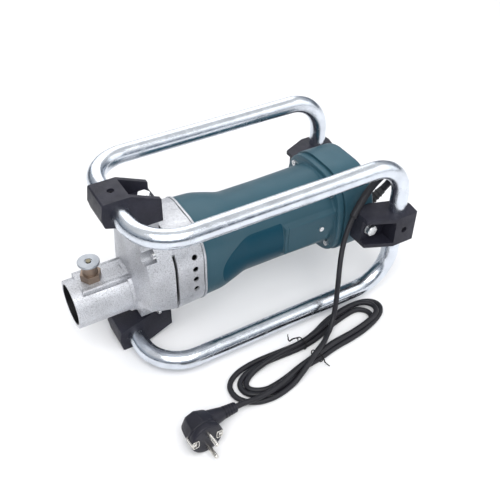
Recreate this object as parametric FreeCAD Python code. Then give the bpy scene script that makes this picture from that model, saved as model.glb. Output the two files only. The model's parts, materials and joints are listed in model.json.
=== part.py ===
import FreeCAD, Part
import math
import os

V = FreeCAD.Vector

# ---- driving dimensions, mm ----
tube_r = 11.0            # round steel cage tube, 22 mm outside
tube_wall = 1.5
tube_bend_r = 49.0       # centreline radius of every cage bend
cage_half_width = 87.5   # machine centre plane to side tube centreline
cage_length = 331.0      # front cross tubes to rear upright tubes

bracket_base = 26.0      # tube centreline to the seat of a bracket
bracket_out = 18.0       # tube centreline to the outer face of a bracket
bracket_front = 18.0     # tube centreline to the end face of a bracket
bracket_block = 14.0     # tube centreline to the start of the bolt pocket
bracket_reach = 48.0     # tube centreline to the tip of the arm
bracket_half = 21.0
bracket_bolt_at = 36.0
pocket_wall = 5.5
pocket_floor = 5.5       # tube centreline to the pocket floor, inwards

gear_module = 1.25
pinion_teeth = 10
gear_teeth = 30
nose_r = 29.2
nose_len = 65.0          # mouth ahead of the front cross tubes
nose_bore_len = 22.0     # full-size stretch behind the mouth
lock_at = 36.5           # locking plunger ahead of the front cross tubes
lock_hex = 21.5          # across the flats of the plunger body
rocker_tilt = 9.0        # off position, degrees from the middle

case_front = 3.5
case_edge = 13.5
case_rear = 42.3
ring_front = 45.6
ring_rear = 82.0
vent_hole_r = 3.5
cavity_front = 18.0
body_r = 51.0            # round middle of the motor housing
pad_low = 20.0           # side panel, below and above the motor axis
pad_high = 20.0
body_round = 135.0       # where the shoulder has become round
drum_len = 43.5          # rear cover, front to back
drum_round = 48.0
flange_len = 9.0
housing_wall = 4.4
nose_wall = 5.2
body_wall = 3.6
label_front = 104.0
label_low = 34.0         # below the motor axis
label_high = 25.0
label_top_run = 46.0     # length of the rounded upper front
label_foot = 24.0        # height of the rounded lower front
label_foot_run = 14.0

gear_front = 21.0
gear_rear = 33.5
spindle_nose = -22.0
fan_front = 53.0
fan_rear = 65.0
core_front = 122.0
core_rear = 184.0
rotor_r = 24.0
rotor_shaft_r = 6.0
bearing_r = 11.0         # 8 x 22 x 7 ball bearing
bearing_bore = 4.0
bearing_w = 7.0
front_bearing_r = 16.0   # 15 x 32 x 9 ball bearing
spindle_r = 7.5
front_bearing_w = 9.0
bolt_r = 4.0             # bracket bolt, 8 mm
bolt_len = 30.5          # under the washer
washer_r = 7.8
case_screw_r = 2.5
cover_screw_r = 2.0
cord_r = 3.3
sleeve_r = 4.7
plug_pin_r = 2.4
plug_pin_len = 19.0
plug_pin_gap = 19.0

running = 0.05           # radial clearance where something turns or slides
seat = 0.02              # radial clearance where something sits still

# ---- values that follow from the above ----
cage_height = 2.0 * (body_r + 41.5)
lower_z = tube_r
upper_z = tube_r + cage_height
middle_z = (lower_z + upper_z) / 2.0
motor_z = middle_z - 1.5 # motor axis, a little below the middle of the cage
centre_gap = gear_module * (pinion_teeth + gear_teeth) / 2.0
nose_z = motor_z - centre_gap
gear_room_r = gear_module * (gear_teeth / 2.0 + 1.0) + 1.0
pad_top = upper_z - bracket_base
pad_bottom = lower_z + bracket_base
drum_half_w = cage_half_width - bracket_base
lift = bracket_out - tube_r
nose_bore_r = nose_r - nose_wall
case_half = body_r + 6.0
case_front_half = case_half - 5.0
case_cavity = case_half - 13.0
case_screw_reach = case_half - 15.5
ring_half_w = body_r + 4.0
ring_half_h = body_r + 6.0
ring_bore = body_r - 2.0
housing_bore = body_r - housing_wall
flange_half = body_r + 7.0
pad_half = body_r + 1.5
drum_half_h = body_r + 10.0
drum_rear = cage_length - 14.5
drum_front = drum_rear - drum_len
flange_front = drum_front - flange_len
pad_rear = flange_front - 19.0
pad_front = pad_rear - 54.0
label_rear = pad_front - 2.0
rear_bearing_at = drum_front - 15.0
comm_rear = rear_bearing_at - 28.0
comm_front = comm_rear - 24.0
fan_r = ring_bore - 5.0
cover_screw_y = body_r - 10.0
cover_screw_z = body_r - 13.0
bracket_end = cage_length + bracket_front + 2.6
mid_x = (bracket_end - nose_len) / 2.0
lock_seat = nose_z + nose_r + 0.1
boot_root = V(drum_rear, -38.0, motor_z - 6.0)
boot_dir = V(0.84, 0.0, 0.54).normalize()
boot_len = 38.0
cord_start = 22.0        # how far up the boot the modelled cord begins

pieces = {}


def placed(shape):
    out = shape.copy()
    out.translate(V(-mid_x, 0, lift))
    return out


def keep(name, *shapes):
    solids = []
    for shape in shapes:
        solids += shape.Solids
    made = solids[0] if len(solids) == 1 else Part.makeCompound(solids)
    pieces[name] = placed(made)


def rod(x0, x1, r, y=0.0, z=0.0):
    return Part.makeCylinder(r, x1 - x0, V(x0, y, z), V(1, 0, 0))


def tube(x0, x1, outer, inner, y=0.0, z=0.0):
    return rod(x0, x1, outer, y, z).cut(rod(x0 - 1, x1 + 1, inner, y, z))


def box(x0, x1, y0, y1, z0, z1):
    return Part.makeBox(x1 - x0, y1 - y0, z1 - z0, V(x0, y0, z0))


def fused(first, *others):
    out = first
    for other in others:
        out = out.fuse(other)
    return out.removeSplitter()


def rounded_wire(x, half_w, half_h, r, z):
    # square with round corners, standing across the machine axis
    r = min(r, half_w - 0.02, half_h - 0.02)
    a, b = half_w - r, half_h - r
    k = r * math.sqrt(0.5)
    edges = []
    for sy, sz in ((1, 1), (-1, 1), (-1, -1), (1, -1)):
        side, top = V(x, sy * half_w, z + sz * b), V(x, sy * a, z + sz * half_h)
        mid = V(x, sy * (a + k), z + sz * (b + k))
        first, last = (side, top) if sy * sz > 0 else (top, side)
        edges.append((Part.Arc(first, mid, last).toShape(), first, last))
    wire = []
    for i, (arc, first, last) in enumerate(edges):
        wire.append(arc)
        wire.append(Part.LineSegment(last, edges[(i + 1) % 4][1]).toShape())
    return Part.Wire(wire)


def rounded(x0, x1, half_w, half_h, r, z=motor_z):
    return Part.Face(rounded_wire(x0, half_w, half_h, r, z)).extrude(V(x1 - x0, 0, 0))


def lofted(sections):
    wires = [rounded_wire(*s) for s in sections]
    return Part.makeLoft(wires, True, True)


def prism_y(points, y0, y1):
    # outline given in x and z, extruded across the machine
    pts = [V(x, y0, z) for x, z in points]
    return Part.Face(Part.makePolygon(pts + [pts[0]])).extrude(V(0, y1 - y0, 0))


def prism_x(points, x0, x1):
    pts = [V(x0, y, z) for y, z in points]
    return Part.Face(Part.makePolygon(pts + [pts[0]])).extrude(V(x1 - x0, 0, 0))


def hexagon(across_flats, height, base, axis):
    # hexagonal prism standing on base along axis
    r = across_flats / math.sqrt(3.0)
    pts = [V(r * math.cos(math.radians(60 * i)), r * math.sin(math.radians(60 * i)), 0)
           for i in range(6)]
    out = Part.Face(Part.makePolygon(pts + [pts[0]])).extrude(V(0, 0, height))
    out.Placement = FreeCAD.Placement(base, FreeCAD.Rotation(V(0, 0, 1), axis))
    return out


def tangent_path(points, factor=0.45, radius=None):
    # straight runs joined by arcs that touch them
    edges, radii, last = [], [], points[0]
    for a, b, c in zip(points, points[1:], points[2:]):
        u, w = (b - a), (c - b)
        run = min(u.Length, w.Length)
        u.normalize()
        w.normalize()
        turn = u.getAngle(w)
        if turn < 0.02:
            continue
        r = radius if radius else factor * run / math.tan(turn / 2.0)
        cut_back = r * math.tan(turn / 2.0)
        start, end = b - u * cut_back, b + w * cut_back
        inward = (w - u)
        inward.normalize()
        centre = b + inward * (r / math.cos(turn / 2.0))
        middle = centre - inward * r
        if (start - last).Length > 1e-4:
            edges.append(Part.LineSegment(last, start).toShape())
        edges.append(Part.Arc(start, middle, end).toShape())
        radii.append(r)
        last = end
    edges.append(Part.LineSegment(last, points[-1]).toShape())
    return Part.Wire(edges), radii


def swept(wire, r, start, direction):
    ring = Part.Wire(Part.Circle(start, direction, r).toShape())
    return wire.makePipeShell([ring], True, False)


def piped(points, r, inner=0.0, radius=None):
    wire, radii = tangent_path(points, radius=radius)
    heading = points[1] - points[0]
    out = swept(wire, r, points[0], heading)
    if inner:
        out = out.cut(swept(wire, inner, points[0], heading))
    return out, radii


# ---- cage ----
def frame_points(z, gap):
    # one bent tube, from the left rear bracket round the front to the right one
    s = 1 if z > middle_z else -1
    end = middle_z + s * gap
    return [V(cage_length, -cage_half_width, end), V(cage_length, -cage_half_width, z),
            V(0, -cage_half_width, z), V(0, cage_half_width, z),
            V(cage_length, cage_half_width, z), V(cage_length, cage_half_width, end)]


def make_cage():
    bore = tube_r - tube_wall
    for name, z in (("top_frame_tube", upper_z), ("bottom_frame_tube", lower_z)):
        keep(name, piped(frame_points(z, 0.5), tube_r, bore, tube_bend_r)[0])
    joiners = [Part.makeCylinder(bore - seat, 50.0,
                                 V(cage_length, s * cage_half_width, middle_z - 25.0))
               for s in (-1, 1)]
    keep("tube_joiners", *joiners)


def bracket_body():
    # local frame: bore along Y, arm along +X, outer face towards +Z
    nose_bulge = bracket_front + 2.6
    outline = [(-bracket_front, bracket_out), (-nose_bulge, 0), (-bracket_front, -12),
               (24, -bracket_base), (bracket_reach, -bracket_base), (bracket_reach, 3),
               (bracket_block, bracket_out)]
    block = prism_y(outline, -bracket_half, bracket_half)
    corners = [e for e in block.Edges if abs(e.tangentAt(e.FirstParameter).y) > 0.9
               and e.CenterOfMass.x < -bracket_front + 0.1 and abs(e.CenterOfMass.z) > 1]
    block = block.makeFillet(2.5, corners)
    inner = bracket_half - pocket_wall
    pocket = box(bracket_block, bracket_reach - 4.0, -inner, inner, -pocket_floor, 40)
    mouth = box(bracket_reach - 5.0, bracket_reach + 5, -inner, inner, -pocket_floor, 40)
    bore = Part.makeCylinder(tube_r + seat, 60, V(0, -30, 0), V(0, 1, 0))
    bolt_hole = Part.makeCylinder(bolt_r + 0.3, 40, V(bracket_bolt_at, 0, -30))
    screw_hole = Part.makeCylinder(3.0, bracket_out, V(0, 0, tube_r - 2))
    counter = Part.makeCylinder(4.0, 4.0, V(0, 0, bracket_out - 3.0))
    return block.cut(Part.makeCompound([pocket, mouth])).cut(bore).cut(bolt_hole).cut(
        screw_hole.fuse(counter))


def bracket_sites():
    # origin, arm direction, outward direction
    return {"front_top_bracket": (V(0, 0, upper_z), V(1, 0, 0), V(0, 0, 1)),
            "front_bottom_bracket": (V(0, 0, lower_z), V(1, 0, 0), V(0, 0, -1)),
            "rear_left_bracket": (V(cage_length, -cage_half_width, middle_z),
                                  V(-1, 0, 0), V(0, -1, 0)),
            "rear_right_bracket": (V(cage_length, cage_half_width, middle_z),
                                   V(-1, 0, 0), V(0, 1, 0))}


def at_site(shape, site):
    origin, along, out = site
    across = out.cross(along)
    m = FreeCAD.Matrix(along.x, across.x, out.x, origin.x, along.y, across.y, out.y, origin.y,
                       along.z, across.z, out.z, origin.z, 0, 0, 0, 1)
    moved = shape.copy()
    moved.transformShape(m, True)
    return moved


def bracket_bolt():
    shank = Part.makeCylinder(bolt_r - seat, bolt_len, V(bracket_bolt_at, 0, -pocket_floor - bolt_len))
    head = hexagon(13.0, 5.3, V(bracket_bolt_at, 0, -pocket_floor + 1.6), V(0, 0, 1))
    neck = Part.makeCylinder(bolt_r - seat, 1.7, V(bracket_bolt_at, 0, -pocket_floor))
    dome = Part.makeCylinder(5.6, 0.6, V(bracket_bolt_at, 0, -pocket_floor + 6.8))
    return fused(shank, neck, head, dome)


def make_brackets():
    body, bolt = bracket_body(), bracket_bolt()
    washer = Part.makeCylinder(washer_r, 1.6, V(bracket_bolt_at, 0, -pocket_floor)).cut(
        Part.makeCylinder(bolt_r + 0.2, 4, V(bracket_bolt_at, 0, -pocket_floor - 1)))
    grub = Part.makeCylinder(3.0 - seat, 4.4, V(0, 0, tube_r + 0.05)).cut(
        hexagon(3.0, 3.0, V(0, 0, tube_r + 2.5), V(0, 0, 1)))
    sites = bracket_sites()
    for name, site in sites.items():
        keep(name, at_site(body, site))
    keep("bracket_bolts", *[at_site(bolt, s) for s in sites.values()])
    keep("bracket_washers", *[at_site(washer, s) for s in sites.values()])
    keep("bracket_set_screws", *[at_site(grub, s) for s in sites.values()])


# ---- gear case and nose ----
def corner_spots(reach):
    return [(sy * reach, motor_z + sz * reach) for sy in (-1, 1) for sz in (-1, 1)]


def nose_shell():
    body = rod(-nose_len, case_edge, nose_r, 0, nose_z)
    collar = rod(-1.0, case_front + 2, nose_r + 2.2, 0, nose_z)
    pad = prism_x([(-18, lock_seat - 22), (-18, lock_seat - 8), (-14, lock_seat), (14, lock_seat),
                   (18, lock_seat - 8), (18, lock_seat - 22)], -nose_len + 11.5, case_edge)
    return fused(body, collar, pad)


def case_shell():
    front = lofted([(case_front, nose_r + 2.2, nose_r + 2.2, nose_r + 2.2, nose_z),
                    (case_edge, case_front_half, case_front_half, 36.0, motor_z)])
    body = lofted([(case_edge, case_front_half, case_front_half, 36.0, motor_z),
                   (case_rear, case_half, case_half, 40.0, motor_z)])
    upper = box(case_edge, case_rear, -20, 20, motor_z, pad_top)
    lower = box(case_edge - 3.5, case_rear, -20, 20, pad_bottom, motor_z - 30)
    return fused(front, body, upper, lower)


def case_lugs():
    lugs = [rod(case_rear - 1, ring_front, 7.5, y, z) for y, z in corner_spots(case_screw_reach)]
    skin = rounded(case_rear - 2, ring_front + 1, case_half, case_half, 40.0)
    return Part.makeCompound(lugs).common(skin)


def lock_hole():
    return Part.makeCylinder(8.0 + seat, 20, V(-lock_at, 0, nose_z + nose_bore_r - 6))


def make_gear_case():
    shape = fused(case_shell(), nose_shell()).fuse(case_lugs()).removeSplitter()
    cuts = [rod(-nose_len - 1, -nose_len + nose_bore_len, nose_bore_r, 0, nose_z),
            rod(-nose_len, -9.0, nose_bore_r - 0.5, 0, nose_z),
            rod(-10.0, 9.0, 11.5 + seat, 0, nose_z),
            rod(7.5, 7.5 + front_bearing_w, front_bearing_r + seat, 0, nose_z),
            rounded(cavity_front, case_rear + 1, case_cavity, case_cavity, 34.0),
            rod(cavity_front, gear_rear + 1.5, gear_room_r, 0, nose_z),
            rod(9.0, cavity_front + 1, front_bearing_r - 3.0, 0, nose_z),
            lock_hole()]
    for y, z in corner_spots(case_screw_reach):
        cuts.append(rod(-5, 26.0, 8.0, y, z))
        cuts.append(rod(20.0, ring_front + 1, case_screw_r + 0.2, y, z))
    for z0 in (pad_top - 22.0, pad_bottom - 1.0):
        cuts.append(Part.makeCylinder(bolt_r, 23.0, V(bracket_bolt_at, 0, z0)))
    keep("gear_case", shape.cut(Part.makeCompound(cuts)))


def cap_screw(x_head, length, r, y, z):
    # pan head towards the front, shank running back
    head = rod(x_head - 3.4, x_head, 1.85 * r, y, z)
    slot = box(x_head - 4, x_head - 2.2, y - 0.5, y + 0.5, z - 1.2 * r, z + 1.2 * r)
    cross = box(x_head - 4, x_head - 2.2, y - 1.2 * r, y + 1.2 * r, z - 0.5, z + 0.5)
    return head.cut(slot.fuse(cross)).fuse(rod(x_head - 0.5, x_head + length, r, y, z)).removeSplitter()


def make_bearing_plate():
    front = case_rear - 7.3
    plate = rounded(front, case_rear, case_cavity - seat, case_cavity - seat, 34.0)
    seats = [rod(front + 0.3, case_rear + 1, bearing_r + seat, 0, z) for z in (motor_z, nose_z)]
    holes = [rod(front - 1, front + 1, 9.0, 0, z) for z in (motor_z, nose_z)]
    keep("bearing_plate", plate.cut(Part.makeCompound(seats + holes)))


def make_air_baffle():
    ring = rounded(case_rear, ring_front, case_half - 6, case_half - 6, 38.0).cut(
        rounded(case_rear - 1, ring_front + 1, case_cavity, case_cavity, 34.0))
    cuts = [rod(case_rear - 1, ring_front + 1, 7.5 + 0.1, y, z)
            for y, z in corner_spots(case_screw_reach)]
    for i in range(14):
        slot = box(case_rear + 0.8, ring_front - 0.8, -4, 4, 0, 90)
        slot.rotate(V(0, 0, 0), V(1, 0, 0), 360.0 / 14 * (i + 0.5))
        slot.translate(V(0, 0, motor_z))
        cuts.append(slot)
    keep("air_baffle", ring.cut(Part.makeCompound(cuts)))


# ---- vent ring ----
def make_vent_ring():
    body = lofted([(ring_front, ring_half_w + 2.5, ring_half_h, 39.0, motor_z),
                   (ring_rear, ring_half_w, ring_half_h, 39.0, motor_z)])
    lip = rounded(ring_rear - 2.4, ring_rear, ring_half_w + 0.8, ring_half_h + 0.8, 39.8)
    band = rounded(ring_rear - 3.6, ring_rear - 2.4, 80, 80, 20).cut(
        rounded(ring_rear - 4, ring_rear - 2, ring_half_w - 1, ring_half_h - 1, 38.0))
    cuts = [rod(ring_front + 3.5, ring_rear + 1, ring_bore, 0, motor_z),
            rod(ring_front - 1, ring_front + 4, 36.0, 0, motor_z), band]
    for y, z in corner_spots(case_screw_reach):
        cuts.append(rod(ring_front - 1, ring_rear - 10, case_screw_r, y, z))
    for side in (0, 180):
        for angle in (30, 15, 0, -15):
            hole = Part.makeCylinder(vent_hole_r, 90, V(68, 0, 0), V(0, 1, 0))
            hole.rotate(V(0, 0, 0), V(1, 0, 0), side + (angle if side == 0 else -angle))
            hole.translate(V(0, 0, motor_z - 1))
            cuts.append(hole)
    keep("vent_ring", fused(body, lip).cut(Part.makeCompound(cuts)))
    keep("gear_case_screws", *[cap_screw(26.0, 44.0, case_screw_r - seat, y, z)
                               for y, z in corner_spots(case_screw_reach)])


# ---- motor housing ----
def label_outline(grow=0.0):
    low, high = motor_z - label_low - grow, motor_z + label_high + grow
    x0, x1 = label_front - grow, label_rear + grow
    foot = low + label_foot
    pts = [(x1, low + 3), (x1, high - 3), (x1 - 3, high)]
    for i in range(9):
        t = math.radians(90.0 - 90.0 * i / 8)
        pts.append((x0 + label_top_run * (1 - math.cos(t)), foot + (high - foot) * math.sin(t)))
    for i in range(1, 7):
        t = math.radians(90.0 * i / 6)
        pts.append((x0 + label_foot_run * (1 - math.cos(t)), foot - label_foot * math.sin(t)))
    pts.append((x1 - 3, low))
    return pts


def label_sheet(side, inner, outer, grow=0.0):
    prism = prism_y(label_outline(grow), min(0, side * 90), max(0, side * 90))
    return tube(60, 230, outer, inner, 0, motor_z).common(prism)


def side_pad():
    pad = prism_y([(pad_front, motor_z - pad_low), (pad_rear, motor_z - pad_low),
                   (pad_rear + 9, motor_z - pad_low + 8), (pad_rear + 9, motor_z + pad_high - 6),
                   (pad_rear, motor_z + pad_high), (pad_front, motor_z + pad_high)],
                  -pad_half, pad_half)
    return pad.common(rod(pad_front - 1, pad_rear + 20, pad_half + 6, 0, motor_z))


def housing_skin():
    shoulder = [(ring_rear, ring_half_w - 0.6, ring_half_h - 0.6, 39.0, motor_z),
                (ring_rear + 22, ring_half_w - 1.0, ring_half_h - 1.2, 41.0, motor_z),
                (ring_rear + 36, body_r + 1.2, body_r + 1.8, 46.0, motor_z),
                (body_round, body_r, body_r, body_r, motor_z)]
    tail = [(body_round, body_r, body_r, body_r, motor_z),
            (pad_front, body_r, body_r, body_r, motor_z),
            (flange_front + 1, body_r + 2.0, body_r + 1.5, body_r, motor_z)]
    flange = rounded(flange_front, drum_front, flange_half, flange_half, 42.0)
    return fused(lofted(shoulder), lofted(tail), side_pad(), flange)


def make_motor_housing():
    skin = housing_skin()
    cuts = [rod(ring_rear - 1, rear_bearing_at - 4, housing_bore, 0, motor_z),
            rod(rear_bearing_at + 8, drum_front + 1, housing_bore, 0, motor_z),
            rod(rear_bearing_at, rear_bearing_at + 9, bearing_r + seat, 0, motor_z),
            rod(rear_bearing_at - 5, rear_bearing_at + 1, rotor_shaft_r + 1.5, 0, motor_z)]
    for i in range(8):
        hole = rod(rear_bearing_at - 5, rear_bearing_at + 9, 8.0, 0, 30.0)
        hole.rotate(V(0, 0, 0), V(1, 0, 0), 45.0 * i + 22.5)
        hole.translate(V(0, 0, motor_z))
        cuts.append(hole)
    for y, z in cover_spots():
        cuts.append(rod(flange_front - 1, drum_front + 1, cover_screw_r + 0.2, y, z))
        cuts.append(rod(flange_front - 6, flange_front, 2.1 * cover_screw_r, y, z))
    for side in (-1, 1):
        cuts.append(label_sheet(side, body_r - 0.9, body_r + 8, 0.1))
        cuts.append(Part.makeCylinder(1.6, 7.0, V(pad_rear - 2, side * pad_half, motor_z + 1),
                                      V(0, -side, 0)))
    for x in (pad_front, pad_front + 4.0):
        groove = tube(x - 0.5, x + 0.5, 70, body_r - 0.8, 0, motor_z).common(
            box(x - 5, x + 5, -80, 80, motor_z - pad_low, motor_z + pad_high))
        cuts.append(groove)
    keep("motor_housing", skin.cut(Part.makeCompound(cuts)))


def cover_spots():
    return [(sy * cover_screw_y, motor_z + sz * cover_screw_z) for sy in (-1, 1) for sz in (-1, 1)]


def make_housing_trim():
    labels = [label_sheet(s, body_r - 0.9 + seat, body_r) for s in (-1, 1)]
    keep("label_plates", *labels)
    screws = []
    for side in (-1, 1):
        head = Part.makeCylinder(3.1, 1.8, V(pad_rear - 2, side * pad_half, motor_z + 1), V(0, side, 0))
        shank = Part.makeCylinder(1.6 - seat, 6.0, V(pad_rear - 2, side * pad_half, motor_z + 1),
                                  V(0, -side, 0))
        slot = box(pad_rear - 4.4, pad_rear + 0.4, side * (pad_half + 1.0) - 0.8,
                   side * (pad_half + 1.0) + 0.8, motor_z + 0.6, motor_z + 1.4)
        slot.translate(V(0, side * 0.8, 0))
        screws.append(head.fuse(shank).cut(slot).removeSplitter())
    keep("side_screws", *screws)
    keep("rear_cover_screws", *[cap_screw(flange_front, 22.0, cover_screw_r - seat, y, z)
                                for y, z in cover_spots()])


# ---- rear cover, switch and cord outlet ----
def make_rear_cover():
    shell = rounded(drum_front, drum_rear, drum_half_w, drum_half_h, drum_round)
    rim = [e for e in shell.Edges if abs(e.CenterOfMass.x - drum_rear) < 0.01]
    shell = shell.makeFillet(5.0, rim)
    hollow = rounded(drum_front - 1, drum_rear - 4.0, drum_half_w - body_wall,
                     drum_half_h - body_wall, drum_round - body_wall)
    keepers = [Part.makeCylinder(10, 16, V(cage_length - bracket_bolt_at, s * drum_half_w, middle_z),
                                 V(0, -s, 0)) for s in (-1, 1)]
    posts = [rod(drum_front, drum_rear - 2, 5.5, y, z) for y, z in cover_spots()]
    shape = shell.cut(hollow).fuse(Part.makeCompound(keepers + posts).common(shell))
    cuts = [Part.makeCylinder(bolt_r, 17, V(cage_length - bracket_bolt_at, s * drum_half_w, middle_z),
                              V(0, -s, 0)) for s in (-1, 1)]
    cuts += [rod(drum_front - 1, drum_rear - 8, cover_screw_r, y, z) for y, z in cover_spots()]
    cuts.append(box(drum_rear - 10, drum_rear + 1, -11, 11, motor_z - 15, motor_z + 15))
    cuts.append(Part.makeCylinder(6.5 + seat, 30, boot_root - boot_dir * 12, boot_dir))
    for i in range(5):
        cuts.append(box(drum_rear - 10, drum_rear + 1, -22, 22, motor_z - 28 - 5 * i,
                        motor_z - 26 - 5 * i))
    keep("rear_cover", shape.cut(Part.makeCompound(cuts)).removeSplitter())


def make_switch():
    bezel = box(drum_rear, drum_rear + 2, -13, 13, motor_z - 17, motor_z + 17)
    can = box(drum_rear - 22, drum_rear + 1, -10.9, 10.9, motor_z - 14.9, motor_z + 14.9)
    window = box(drum_rear - 14, drum_rear + 3, -8.5, 8.5, motor_z - 12.5, motor_z + 12.5)
    pivot = Part.makeCylinder(2.0 + running, 22, V(drum_rear - 4, -11, motor_z), V(0, 1, 0))
    keep("switch_body", fused(bezel, can).cut(window).cut(pivot.common(
        box(0, 500, -10.5, 10.5, 0, 300))))
    x = drum_rear
    rocker = prism_y([(x - 7, motor_z - 5), (x - 1.5, motor_z - 10), (x + 4.5, motor_z - 10.3),
                      (x + 2.2, motor_z), (x + 4.5, motor_z + 10.3), (x - 1.5, motor_z + 10),
                      (x - 7, motor_z + 5)], -8.2, 8.2)
    pin = Part.makeCylinder(2.0, 20.6, V(x - 4, -10.3, motor_z), V(0, 1, 0))
    rocker = rocker.fuse(pin).removeSplitter()
    rocker.rotate(V(x - 4, 0, motor_z), V(0, 1, 0), rocker_tilt)
    keep("switch_rocker", rocker)


def make_strain_relief():
    taper = Part.makeCone(6.5, 5.2, boot_len, boot_root, boot_dir)
    plug = Part.makeCylinder(6.5, 9, boot_root - boot_dir * 9, boot_dir)
    ribs = [Part.makeCylinder(7.4 - 0.25 * i, 1.8, boot_root + boot_dir * (5 + 5 * i), boot_dir)
            for i in range(6)]
    bore = Part.makeCylinder(cord_r + seat, boot_len, boot_root + boot_dir * (cord_start - seat),
                             boot_dir)
    keep("strain_relief", fused(plug, taper, *ribs).cut(bore))


# ---- gears, bearings, spindle and rotor ----
def gear_blank(teeth, addendum, dedendum, backlash, phase, x0, x1, z):
    # involute teeth, 20 degree pressure angle
    rp = gear_module * teeth / 2.0
    rb = rp * math.cos(math.radians(20))
    ra, rf = rp + addendum, rp - dedendum
    inv20 = math.tan(math.radians(20)) - math.radians(20)

    def half_angle(r):
        alpha = math.acos(min(1.0, rb / r))
        return math.pi / (2 * teeth) - backlash / (2 * rp) + inv20 - (math.tan(alpha) - alpha)

    def spot(r, angle):
        return V(x0, r * math.cos(angle), z + r * math.sin(angle))

    low = max(rb, rf + 0.05)
    steps = [low + (ra - low) * t for t in (0.0, 0.3, 0.65, 1.0)]
    edges = []
    for i in range(teeth):
        c = phase + 2 * math.pi * i / teeth
        n = phase + 2 * math.pi * (i + 1) / teeth
        up = [spot(r, c - half_angle(r)) for r in steps]
        down = [spot(r, c + half_angle(r)) for r in reversed(steps)]
        foot_in, foot_out = spot(rf, c - half_angle(low)), spot(rf, c + half_angle(low))
        curve_up, curve_down = Part.BSplineCurve(), Part.BSplineCurve()
        curve_up.interpolate(up)
        curve_down.interpolate(down)
        edges += [Part.LineSegment(foot_in, up[0]).toShape(), curve_up.toShape(),
                  Part.LineSegment(up[-1], down[0]).toShape(), curve_down.toShape(),
                  Part.LineSegment(down[-1], foot_out).toShape(),
                  Part.LineSegment(foot_out, spot(rf, n - half_angle(low))).toShape()]
    return Part.Face(Part.Wire(edges)).extrude(V(x1 - x0, 0, 0))


def make_gears():
    gear = gear_blank(gear_teeth, 0.8 * gear_module, 1.25 * gear_module, 0.2,
                      math.pi / 2 + math.pi / gear_teeth, gear_front, gear_rear, nose_z)
    hub_cut = tube(gear_front - 1, gear_front + 3, 15.0, 11.0, 0, nose_z)
    keep("output_gear", gear.cut(rod(gear_front - 1, gear_rear + 1, spindle_r + seat, 0, nose_z)).cut(hub_cut))
    pinion = gear_blank(pinion_teeth, gear_module, 1.2 * gear_module, 0.2,
                        -math.pi / 2, gear_front - 1, gear_rear, motor_z)
    keep("drive_pinion", pinion.cut(rod(gear_front - 2, gear_rear + 1, 2.5 + seat, 0, motor_z)))


def make_spindle():
    drive = hexagon(12.0, 11.0, V(spindle_nose - 1, 0, nose_z), V(1, 0, 0))
    shaft = fused(rod(spindle_nose, -10.5, 10.0, 0, nose_z), rod(-11, gear_rear, spindle_r, 0, nose_z),
                  rod(gear_rear - 1, case_rear - 0.2, bearing_bore, 0, nose_z))
    keep("output_spindle", shaft.cut(drive))


def ball_bearing(x0, width, outer, bore, z):
    race = (outer - bore) * 0.28
    outer_race = tube(x0, x0 + width, outer, outer - race, 0, z)
    inner_race = tube(x0, x0 + width, bore + race, bore + 0.01, 0, z)
    shield = tube(x0 + 0.4, x0 + width - 0.4, outer - race, bore + race, 0, z)
    return outer_race.fuse(inner_race).fuse(shield).removeSplitter()


def make_bearings():
    keep("spindle_bearings",
         ball_bearing(7.5, front_bearing_w, front_bearing_r, spindle_r + running, nose_z),
         ball_bearing(case_rear - bearing_w, bearing_w, bearing_r, bearing_bore + running, nose_z))
    keep("rotor_bearings",
         ball_bearing(case_rear - bearing_w, bearing_w, bearing_r, bearing_bore + running, motor_z),
         ball_bearing(rear_bearing_at, bearing_w, bearing_r, bearing_bore + running, motor_z))
    keep("spindle_seal", tube(0.5, 6.5, 11.5, spindle_r + running, 0, nose_z))


def make_rotor():
    shaft = fused(rod(gear_front - 1, case_rear - bearing_w, 2.5, 0, motor_z),
                  rod(case_rear - bearing_w, case_rear + 0.5, bearing_bore, 0, motor_z),
                  rod(case_rear + 0.5, rear_bearing_at - 1, rotor_shaft_r, 0, motor_z),
                  rod(rear_bearing_at - 1, rear_bearing_at + bearing_w, bearing_bore, 0, motor_z))
    keep("rotor_shaft", shaft)
    core = tube(core_front, core_rear, rotor_r, rotor_shaft_r + seat, 0, motor_z)
    slots = []
    for i in range(12):
        slot = box(core_front - 1, core_rear + 1, -1.0, 1.0, rotor_r - 2.5, rotor_r + 2)
        slot.rotate(V(0, 0, 0), V(1, 0, 0), 30.0 * i)
        slot.translate(V(0, 0, motor_z))
        slots.append(slot)
    keep("rotor_core", core.cut(Part.makeCompound(slots)))
    ends = [tube(x0, x1, rotor_r - 3, rotor_shaft_r + seat, 0, motor_z)
            for x0, x1 in ((core_front - 14, core_front), (core_rear, core_rear + 14))]
    keep("rotor_windings", *[e.makeFillet(3.0, [f for f in e.Edges if f.Curve.TypeId == "Part::GeomCircle"
                                                and f.Curve.Radius > 20]) for e in ends])
    keep("commutator", tube(comm_front, comm_rear, 14.0, rotor_shaft_r + seat, 0, motor_z))
    hub = tube(fan_front, fan_rear, 10.0, rotor_shaft_r + seat, 0, motor_z)
    disc = tube(fan_rear - 2, fan_rear, fan_r, 9.0, 0, motor_z)
    blades = []
    for i in range(10):
        blade = box(fan_front, fan_rear - 1, -1.0, 1.0, 9.5, fan_r - 1)
        blade.rotate(V(0, 0, 0), V(1, 0, 0), 36.0 * i)
        blade.translate(V(0, 0, motor_z))
        blades.append(blade)
    keep("cooling_fan", fused(hub, disc, *blades))


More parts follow.
